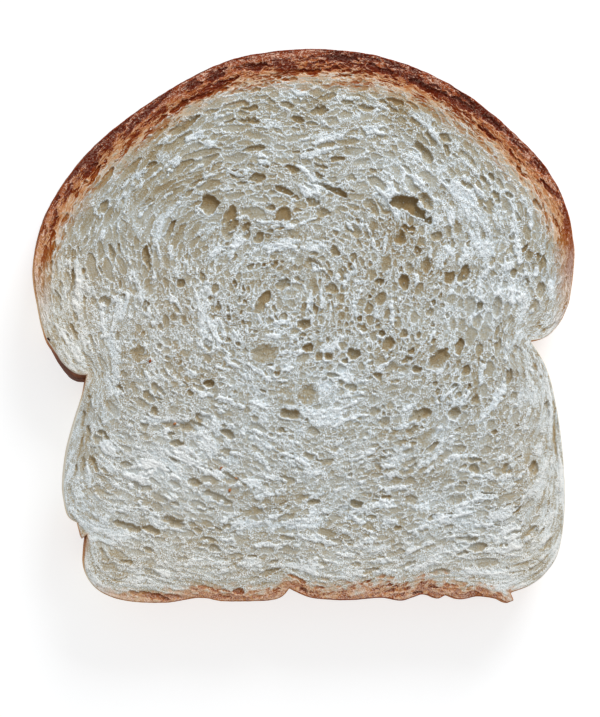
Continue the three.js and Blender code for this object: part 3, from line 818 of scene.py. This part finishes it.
def crumb_material():
    """White crumb: torn walls with a painted bluish highlight over cell floors with warm painted
    shade, browning towards the crust in layers, with painted glints in the crust."""
    material, place = new_material("white_crumb")
    hollow, torn, froth, rim, floor = attributes(place, "hollow torn froth rim floor")
    fibre, layer, edge, combed, cup = attributes(place, "fibre layer edge combed cup")
    brown, toast, along, inward = attributes(place, "brown toast along inward")
    shade, pale, cream, crumbly, flake = attributes(place, "shade pale cream crumbly flake")
    grain = noise(place, 0.23, 2.0, 0.7)
    fleck = noise(place, 0.55, 2.0, 0.6)
    drift = noise(place, 7, 3.0)
    mottle = noise(place, 1.3, 3.0, 0.6)
    lively = noise(place, 4, 3.0).step(0.35, 0.62)
    inward = inward + (noise(place, 1.8, 3.0) - 0.5) * 1.8
    way = place.node("ShaderNodeCombineXYZ", i0=along * 0.4, i1=inward * 4.0)
    strand = place.node("ShaderNodeTexNoise", Vector=way, Scale=1.0, Detail=3.0, Roughness=0.7)
    strand = strand.step(0.34, 0.66) - 0.5
    # how white each point is, from 0 on a deep cell's floor to 1 on a torn wall, with painted shade
    # on cell floors and painted highlights on rims and sparkling specks
    speckle = (grain - 0.5) * (froth.step(0.0, 0.5) * 2.6 + 2.2) + (fleck - 0.5) * 0.35
    speckle = speckle * (1.0 - cup * 0.5) * (crumbly * 0.5 + 1.0)
    painted_sparkle = (grain + (fleck - 0.5) * 0.6).step(0.54, 0.74) * (torn + froth + rim).step(0.1, 0.9)
    white = rim * (lively * 0.2 + 0.3) - floor * 0.5 + torn * 0.44 + froth * 0.2 + cream * 0.14
    white = white + fibre * edge * 0.35 + strand * combed * 0.6 + speckle + painted_sparkle * 0.4
    white = white + (drift - 0.5) * 0.5 + layer * 0.08 + flake * 0.36 + pale + 0.35
    # the ramp runs from warm painted shade in deep cells to a painted bluish sky light on the whitest
    # walls
    crumb = white.ramp(
        (0.0, 148, 122, 82), (0.2, 173, 160, 132), (0.38, 187, 183, 169),
        (0.52, 198, 202, 199), (0.68, 214, 223, 228), (0.83, 236, 247, 254),
        (1.0, 253, 255, 255))
    crumb = crumb.tint((0.98, 0.83, 0.65, 1), cream * white.step(0.25, 0.95, 1.0, 0.25))
    # how far baked each point is, the crust's dark layers with painted shade in its flat cells, and
    # painted glints on its layers
    toast = toast + (grain - 0.5) * 0.3 + (noise(place, 2.2, 3.0) - 0.5) * 0.5
    toast = toast + (shade - 0.3) * 0.3 + layer * 0.15
    strand = strand * (1.0 - crumbly)
    layered = toast - fibre * 0.12 - strand * 0.4 - rim * 0.3
    layered = layered + ((mottle - 0.5) * 1.8 + floor * 1.4 - 0.3) * crumbly
    baked = layered.step(-0.55, 0.35) * brown.step(0.0, 0.5)
    depth = layered.step(-0.3, 0.95) * brown
    sparse = (fleck + (grain - 0.5) * 1.2).step(0.48, 0.62)
    dark_layers_and_shade = floor + hollow * 0.6 + layer * (0.8 - crumbly * 0.6) - strand * 0.5 + 0.1
    dark_layers_and_shade = (dark_layers_and_shade + (fleck - 0.5) * (crumbly * 2.8 + 0.5)).step(0.14, 0.4)
    glint = strand.step(0.05, 0.4) * 0.6 + toast.step(0.5, 0.85) * 0.5 + crumbly * 1.5 + rim * 0.8
    glint = glint * sparse * (1.0 - dark_layers_and_shade * 0.75) + flake * 0.5
    crust = cut_crust_colours(depth, dark_layers_and_shade, glint)
    crust = crust.blend(crumb.tint((0.74, 0.6, 0.5, 1), 1.0), crumbly * 0.15)
    colour = crumb.blend(crust, baked)
    height = grain + noise(place, 0.18, 1.0) * 0.5
    surface(place, colour, 0.9, (height, 0.1), Specular_IOR_Level=0.15)
    return material


crumb = crumb_material()
for piece in crumb_blocks:
    piece.data.materials.append(crumb)
    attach(piece, "root")
    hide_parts("bread_slice")


# Shreds of torn crumb: the knife drags thin cell walls out into small white flakes that lie
# loosely on the cut face, thickest where it tore.
SHRED_COUNT = 3.2e6
SHRED_SMALLEST = (0.10, 0.05, 0.025)
SHRED_LARGEST = (0.42, 0.13, 0.06)
SHRED_TILT = (0.5, 0.4, 0.7)
SHRED_INSET = 0.5
STEEPEST = 0.3
CROOK_SIZE = 0.35
CROOK = (0.5, 0.5, 0.3)
SHRED_SEED = 11


def shreds_tree():
    """A tree that strews flat shards over a face, along the way that the crumb's cells lie."""
    tree = bpy.data.node_groups.new("crumb_shreds", "GeometryNodeTree")
    for label, kind in (("Crumb", "Geometry"), ("Shreds in a square metre", "Float"),
                        ("Smallest", "Vector"), ("Largest", "Vector"), ("Seed", "Int"),
                        ("Material", "Material")):
        tree.interface.new_socket(label, in_out="INPUT", socket_type="NodeSocket" + kind)
    tree.interface.new_socket("Shreds", in_out="OUTPUT", socket_type="NodeSocketGeometry")
    inlet = tree.nodes.new("NodeGroupInput")

    def given(label):
        return Socket(tree, inlet.outputs[label])

    def number(name):
        return crumb_in.node("GeometryNodeInputNamedAttribute", {"data_type": "FLOAT"}, Name=name)

    def chance(low, high, shift):
        return crumb_in.node("FunctionNodeRandomValue", {"data_type": "FLOAT"}, 1,
                             i2=low, i3=high, i8=seed + shift)

    crumb_in, seed = given("Crumb"), given("Seed")
    normal = crumb_in.node("GeometryNodeInputNormal")
    facing = normal.node("ShaderNodeSeparateXYZ", None, 2, i0=normal)
    upward = facing.maths("GREATER_THAN", STEEPEST)
    points = crumb_in.node(
        "GeometryNodeDistributePointsOnFaces", Mesh=crumb_in, Selection=upward,
        Density=given("Shreds in a square metre") * number("flaky"), Seed=seed)
    points = points.node(
        "GeometryNodeStoreNamedAttribute", {"data_type": "FLOAT", "domain": "POINT"}, 0,
        Geometry=points, Name="flake", Value=chance(0.3, 1.0, 1))
    tilt_x, tilt_y, veer = (chance(-most, most, k + 2) for k, most in enumerate(SHRED_TILT))
    way = points.node("ShaderNodeCombineXYZ", i0=tilt_x, i1=tilt_y, i2=number("lie") + veer)
    shard = points.node("GeometryNodeMeshUVSphere", Segments=4, Rings=2, Radius=1.0)
    size = points.node("FunctionNodeRandomValue", {"data_type": "FLOAT_VECTOR"}, 0,
                       i0=given("Smallest"), i1=given("Largest"), i8=seed + 5)
    shreds = points.node("GeometryNodeInstanceOnPoints", Points=points, Instance=shard,
                         Rotation=way, Scale=size)
    shreds = shreds.node("GeometryNodeRealizeInstances", Geometry=shreds)
    crook = shreds.node("ShaderNodeTexNoise", None, 1, Scale=1 / (CROOK_SIZE * MM))
    most = [bend * MM for bend in CROOK]
    for operation, amount in (("SUBTRACT", (0.5, 0.5, 0.5)), ("MULTIPLY", most)):
        crook = crook.node("ShaderNodeVectorMath", {"operation": operation}, i0=crook, i1=amount)
    shreds = shreds.node("GeometryNodeSetPosition", Geometry=shreds, Offset=crook)
    shreds = shreds.node("GeometryNodeSetMaterial", Geometry=shreds, Material=given("Material"))
    outlet = tree.nodes.new("NodeGroupOutput")
    tree.links.new(shreds.link, outlet.inputs[0])
    return tree


def grown(host, tree, inputs):
    """The host's mesh replaced by what the tree makes of it, as a plain mesh."""
    modifier = host.modifiers.new(tree.name, "NODES")
    modifier.node_group = tree
    sockets = {item.name: item.identifier for item in tree.interface.items_tree
               if item.item_type == "SOCKET" and item.in_out == "INPUT"}
    for label, value in inputs.items():
        modifier[sockets[label]] = value
    seen = host.evaluated_get(bpy.context.evaluated_depsgraph_get())
    mesh = bpy.data.meshes.new_from_object(seen)
    host.modifiers.remove(modifier)
    host.data = mesh
    spare = mesh.attributes.get("OFBake")
    if spare:
        mesh.attributes.remove(spare)


ground = copy.copy(upper)
for label, field in vars(upper).items():
    if isinstance(field, np.ndarray) and field.shape == upper.x.shape:
        setattr(ground, label, field[::2, ::2])
torn_crumb = crumb_slab("torn_crumb", ground, ground.inside - SHRED_INSET, 1)
torn_crumb.data.materials.append(crumb)
smallest, largest = ([side * MM for side in size] for size in (SHRED_SMALLEST, SHRED_LARGEST))
grown(torn_crumb, shreds_tree(), {
    "Shreds in a square metre": SHRED_COUNT, "Smallest": smallest, "Largest": largest,
    "Seed": SHRED_SEED, "Material": crumb})
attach(torn_crumb, "root")
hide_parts("bread_slice")


# The outer crust: a thin leathery skin round the slice, baked dark and finely wrinkled over the
# crown, smoother and paler where the tin held it, with a rounded lip at both cut faces.
SKIN_ROW = 0.36
SKIN_DEPTH = 0.8
SKIN_END = 0.3
SKIN_HEM = 1.2
LIP = [(0.06, 0.08), (0.18, 0.02), (0.32, 0.10)]
WRINKLED_INSET = 0.2
NOISE_MIDDLE = 400
STRIPS = 4
profile = [(0.0, height) for height in np.arange(SKIN_END, THICKNESS - SKIN_END, SKIN_ROW)]
profile += [(inset, THICKNESS - drop) for inset, drop in LIP]
profile += [(SKIN_DEPTH, height) for height in (THICKNESS - SKIN_HEM, THICKNESS / 2, SKIN_HEM)]
profile += [(inset, drop) for inset, drop in reversed(LIP)]

along = np.arange(len(outline)) * STATION_STEP
around = len(outline) * STATION_STEP
turn = along / around * 2 * math.pi
round_x = np.cos(turn) * around / 6.28 + NOISE_MIDDLE
round_y = np.sin(turn) * around / 6.28 + NOISE_MIDDLE
bands = []
for inset, height in profile:
    ring = ring_at(height, inset)
    fold = clouds(round_x + 0.9 * height, round_y + 0.9 * height, 2.6, 90, 3)
    pucker = clouds(round_x * 1.7 + height, round_y * 0.6 + 1.4 * height, 1.0, 96, 2)
    rough = (0.10 * fold + 0.05 * pucker) * side_brown
    if inset < WRINKLED_INSET:
        ring = ring + outward * rough[:, None]
    bands.append(np.column_stack([ring - ring_middle, np.full(len(ring), height)]))
skin_grid = np.array(bands)
rows, stations = skin_grid.shape[:2]
row, station = (index.ravel() for index in np.mgrid[0:rows, 0:stations])
after_row, after_station = (row + 1) % rows, (station + 1) % stations
a, b = row * stations + station, row * stations + after_station
c, d = after_row * stations + after_station, after_row * stations + station
skin_faces = np.hstack([[a, d, c], [a, c, b]]).T
strip_length = math.ceil(stations / STRIPS)
strip = station // strip_length
left = (station % strip_length) / strip_length * 0.99 + 0.003
right = left + 0.99 / strip_length
low = (strip + 0.01 + 0.97 * row / rows) / STRIPS
high = low + 0.97 / rows / STRIPS
on_a, on_b, on_c, on_d = (left, low), (right, low), (right, high), (left, high)
skin_uv = np.vstack([np.array(corners).transpose(2, 0, 1)
                     for corners in ((on_a, on_d, on_c), (on_a, on_c, on_b))])
lip = np.array([0.0 if inset == 0 else 1.0 for inset, height in profile])
crust_skin = build_mesh(
    "crust_skin", skin_grid.reshape(-1, 3), skin_faces, skin_uv.reshape(-1, 2),
    {"lip": np.repeat(lip, stations), "cut": np.tile(cut_brown, rows),
     "side": np.tile(side_brown, rows)})


def crust_material():
    """Baked crust: golden where the tin shielded it to dark red-brown on the crown, mottled and
    freckled, with a satin sheen."""
    material, place = new_material("baked_crust")
    mottle = noise(place, 3.0, 4.0, 0.6)
    freckle = noise(place, 0.5, 2.0, 0.6)
    side, cut, lip = attributes(place, "side cut lip")
    side = side + (mottle - 0.55) * 0.7 + (freckle - 0.5) * 0.3
    skin = side.ramp(
        (0.0, 222, 214, 196), (0.18, 218, 196, 158), (0.4, 200, 144, 86),
        (0.55, 178, 118, 68), (0.7, 146, 86, 46), (0.88, 114, 60, 32),
        (1.0, 88, 44, 22))
    deep = (cut + (mottle - 0.5) * 0.3).step(0.0, 1.0)
    # the lip's dark freckles, with painted glints on it
    rim = cut_crust_colours(deep, freckle.step(0.45, 0.6), freckle.step(0.6, 0.75) * 0.6)
    pale = rim.blend(rgb(240, 236, 224), cut.step(0.25, 0.02))
    colour = skin.blend(pale, lip)
    height = noise(place, 0.8, 3.0, 0.6) + freckle * 0.5
    surface(place, colour, 0.6 + freckle * 0.2, (height, 0.12), Specular_IOR_Level=0.08)
    return material


crust = crust_material()
crust_skin.data.materials.append(crust)
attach(crust_skin, "root")
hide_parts("bread_slice")


# Crumbs of crust: a few specks that broke off the browned crust under the knife and lie on the
# white crumb, with one burnt one at the left overhang.
SPECKS = [
    # middle x, y, length, width, turn in degrees, how brown
    (-34.3, -7.7, 0.9, 0.5, 70, 0.6), (-28.8, -21.5, 0.8, 0.5, 20, 0.45),
    (-18.6, -31.3, 1.0, 0.4, 40, 0.5), (-15.3, -33.5, 0.8, 0.5, -25, 0.35),
    (-16.7, -36.2, 0.8, 0.6, 80, 0.5), (-56.7, -2.8, 0.9, 0.5, -60, 1.3),
]
SPECK_DENT = 0.22
SPECK_RISE = 0.25
SPECK_SEED = 5

ball = bmesh.new()
bmesh.ops.create_icosphere(ball, subdivisions=2, radius=0.5)
ball_points = np.array([list(corner.co) for corner in ball.verts])
ball_faces = np.array([[corner.index for corner in side.verts] for side in ball.faces])
ball.free()
dents = np.random.default_rng(SPECK_SEED)
points, faces, toasts = [], [], []
for x, y, length, width, turn, toast in SPECKS:
    x = x + KNIFE_OFFSET
    column, row = np.searchsorted(upper.xs, x), np.searchsorted(upper.ys, y)
    lump = ball_points * (1 + dents.uniform(-SPECK_DENT, SPECK_DENT, (len(ball_points), 1)))
    lump = lump * (length, width, width)
    c, s = math.cos(math.radians(turn)), math.sin(math.radians(turn))
    lump = lump @ np.array([(c, s, 0), (-s, c, 0), (0, 0, 1)])
    rest = (x, y, THICKNESS + upper.height[row, column] + SPECK_RISE * width)
    faces.append(ball_faces + len(ball_points) * len(points))
    points.append(lump + rest - (*ring_middle, 0))
    toasts.append(np.full(len(ball_points), toast))
crust_specks = build_mesh("crust_specks", np.vstack(points), np.vstack(faces), None,
                          {"toast": np.concatenate(toasts)})


def speck_material():
    """Broken crust: orange-brown to nearly black, matt and uneven."""
    material, place = new_material("crust_crumb")
    toast, = attributes(place, "toast")
    toast = toast + (noise(place, 0.3) - 0.5) * 0.3
    colour = cut_crust_colours(toast, toast.step(0.2, 0.9), 0.0)
    colour = colour.tint((0.3, 0.3, 0.4, 1), toast.step(0.9, 1.2))
    surface(place, colour, 0.8, Specular_IOR_Level=0.15)
    return material


crust_specks.data.materials.append(speck_material())
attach(crust_specks, "root")
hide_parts("bread_slice")


# The floor is plain and pale, and the light is a bright even sky with a large soft window beyond
# the crown.
FLOOR_REACH = 1.5
FLOOR_GLOW = 0.66
WINDOW_PLACE = (0.3, 0.7, 0.42)
WINDOW_SIZE = 0.4
WINDOW_POWER = 6.2
SKY_STRENGTH = 0.5
floor_mesh = bpy.data.meshes.new("floor")
corners = [(x * FLOOR_REACH, y * FLOOR_REACH, 0) for x, y in ((-1, -1), (1, -1), (1, 1), (-1, 1))]
floor_mesh.from_pydata(corners, [], [(0, 1, 2, 3)])
floor = bpy.data.objects.new("floor", floor_mesh)
bpy.context.scene.collection.objects.link(floor)
floor_material, floor_place = new_material("pale_floor")
surface(floor_place, rgb(190, 190, 190), 0.9, Emission_Color=(1, 1, 1, 1),
        Emission_Strength=FLOOR_GLOW)
floor_mesh.materials.append(floor_material)

window_data = bpy.data.lights.new("window", "AREA")
window_data.size = WINDOW_SIZE
window_data.energy = WINDOW_POWER
window_data.color = (0.93, 0.97, 1)
window = bpy.data.objects.new("window", window_data)
window.location = WINDOW_PLACE
window.rotation_euler = (-Vector(WINDOW_PLACE)).to_track_quat("-Z", "Y").to_euler()
bpy.context.scene.collection.objects.link(window)
world = bpy.data.worlds.new("soft_sky")
bpy.context.scene.world = world
world.use_nodes = True
sky = world.node_tree.nodes["Background"].inputs
sky["Color"].default_value = (0.97, 0.985, 1, 1)
sky["Strength"].default_value = SKY_STRENGTH
bpy.context.scene.view_settings.view_transform = "Standard"
